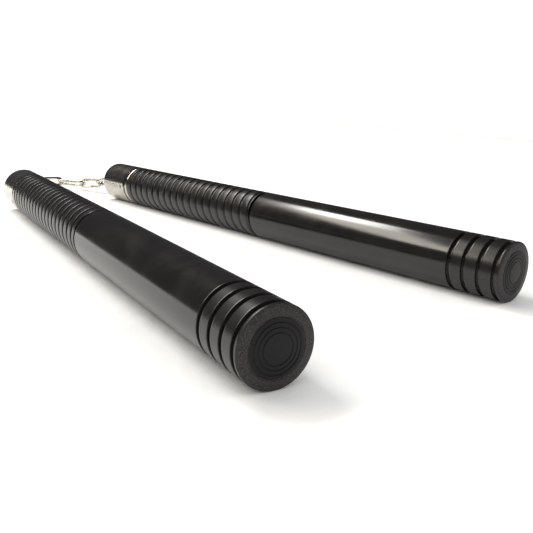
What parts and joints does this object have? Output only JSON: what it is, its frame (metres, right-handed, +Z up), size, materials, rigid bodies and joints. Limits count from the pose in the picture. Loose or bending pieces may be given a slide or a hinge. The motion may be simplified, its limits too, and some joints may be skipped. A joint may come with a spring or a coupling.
{
  "type": "chain-linked pair of short sticks",
  "caption": "Two short turned black sticks with metal ferrules, joined by a short chain that runs between ball-bearing swivels.",
  "frame": {"origin": "on the ground under the middle of the outline, with both sticks lying down", "axes": "+Z up; +Y along the middle of the V that the sticks make, from their butts towards the chain; +X from stick A to stick B"},
  "size_m": [0.1558, 0.3757, 0.025],
  "materials": {
    "black_lacquer": "black gloss lacquer over turned hardwood",
    "nickel": "satin nickel plate with fine turning marks",
    "pin_steel": "plain steel",
    "bearing_steel": "ground bearing steel",
    "ball_steel": "polished",
    "cage_brass": "machined brass",
    "swivel_steel": "satin nickel plate",
    "washer_steel": "plain steel",
    "nut_steel": "plain steel",
    "chain_steel": "satin nickel plate"
  },
  "bodies": {
    "stick_a": {"rod_a": "black_lacquer", "ferrule_a": "nickel", "ferrule_pins_a": "pin_steel", "bearing_outer_race_a": "bearing_steel"},
    "cage_a": {"bearing_balls_a": "ball_steel", "bearing_cage_a": "cage_brass"},
    "swivel_a": {"swivel_eye_a": "swivel_steel", "bearing_inner_race_a": "bearing_steel", "swivel_washer_a": "washer_steel", "swivel_nut_a": "nut_steel"},
    "link_1": {"chain_link_1": "chain_steel"},
    "link_2": {"chain_link_2": "chain_steel"},
    "link_3": {"chain_link_3": "chain_steel"},
    "link_4": {"chain_link_4": "chain_steel"},
    "link_5": {"chain_link_5": "chain_steel"},
    "link_6": {"chain_link_6": "chain_steel"},
    "link_7": {"chain_link_7": "chain_steel"},
    "link_8": {"chain_link_8": "chain_steel"},
    "swivel_b": {"swivel_eye_b": "swivel_steel", "bearing_inner_race_b": "bearing_steel", "swivel_washer_b": "washer_steel", "swivel_nut_b": "nut_steel"},
    "cage_b": {"bearing_balls_b": "ball_steel", "bearing_cage_b": "cage_brass"},
    "stick_b": {"rod_b": "black_lacquer", "ferrule_b": "nickel", "ferrule_pins_b": "pin_steel", "bearing_outer_race_b": "bearing_steel"}
  },
  "joints": [
    {"name": "swivel_a_turn", "type": "hinge", "parent": "stick_a", "child": "swivel_a", "pos_m": [-0.03499, 0.12587, 0.0125], "axis": [0.0976, 0.9952, 0], "continuous": true},
    {"name": "cage_a_turn", "type": "hinge", "parent": "stick_a", "child": "cage_a", "pos_m": [-0.03499, 0.12587, 0.0125], "axis": [0.0976, 0.9952, 0], "continuous": true},
    {"name": "link_1_swing", "type": "hinge", "parent": "swivel_a", "child": "link_1", "pos_m": [-0.03499, 0.12587, 0.0125], "axis": [-0.4672, 0.0458, 0.8829], "range_deg": [-60, 75]},
    {"name": "link_2_swing", "type": "hinge", "parent": "link_1", "child": "link_2", "pos_m": [-0.03395, 0.14579, 0.00898], "axis": [-0.4645, 0.1775, 0.8676], "range_deg": [-36, 75]},
    {"name": "link_3_swing", "type": "hinge", "parent": "link_2", "child": "link_3", "pos_m": [-0.02873, 0.16259, 0.00701], "axis": [-0.8451, 0.204, -0.4942], "range_deg": [-70, 60]},
    {"name": "link_4_swing", "type": "hinge", "parent": "link_3", "child": "link_4", "pos_m": [-0.01857, 0.1772, 0.00643], "axis": [0.4179, -0.3244, -0.8486], "range_deg": [-75, 28]},
    {"name": "link_5_swing", "type": "hinge", "parent": "link_4", "child": "link_5", "pos_m": [-0.00356, 0.18665, 0.00571], "axis": [0.4763, -0.7172, 0.5087], "range_deg": [-24, 50]},
    {"name": "link_6_swing", "type": "hinge", "parent": "link_5", "child": "link_6", "pos_m": [0.01444, 0.18535, 0.00611], "axis": [-0.0244, -0.5891, -0.8077], "range_deg": [-75, 15]},
    {"name": "link_7_swing", "type": "hinge", "parent": "link_6", "child": "link_7", "pos_m": [0.02802, 0.17374, 0.005], "axis": [-0.535, -0.6748, 0.5084], "range_deg": [-36, 45]},
    {"name": "link_8_swing", "type": "hinge", "parent": "link_7", "child": "link_8", "pos_m": [0.03409, 0.15692, 0.00717], "axis": [-0.4574, -0.2746, -0.8458], "range_deg": [-75, 32]},
    {"name": "swivel_b_swing", "type": "hinge", "parent": "link_8", "child": "swivel_b", "pos_m": [0.03499, 0.14006, 0.0125], "axis": [0.8851, 0.0868, -0.4572], "range_deg": [-75, 75]},
    {"name": "stick_b_turn", "type": "hinge", "parent": "swivel_b", "child": "stick_b", "pos_m": [0.03499, 0.14006, 0.0125], "axis": [-0.0976, 0.9952, 0], "continuous": true},
    {"name": "cage_b_turn", "type": "hinge", "parent": "swivel_b", "child": "cage_b", "pos_m": [0.03499, 0.14006, 0.0125], "axis": [-0.0976, 0.9952, 0], "continuous": true}
  ],
  "couplings": [
    {"joint": "cage_a_turn", "follows": "swivel_a_turn", "ratio": 0.3676},
    {"joint": "cage_b_turn", "follows": "stick_b_turn", "ratio": 0.6324}
  ]
}
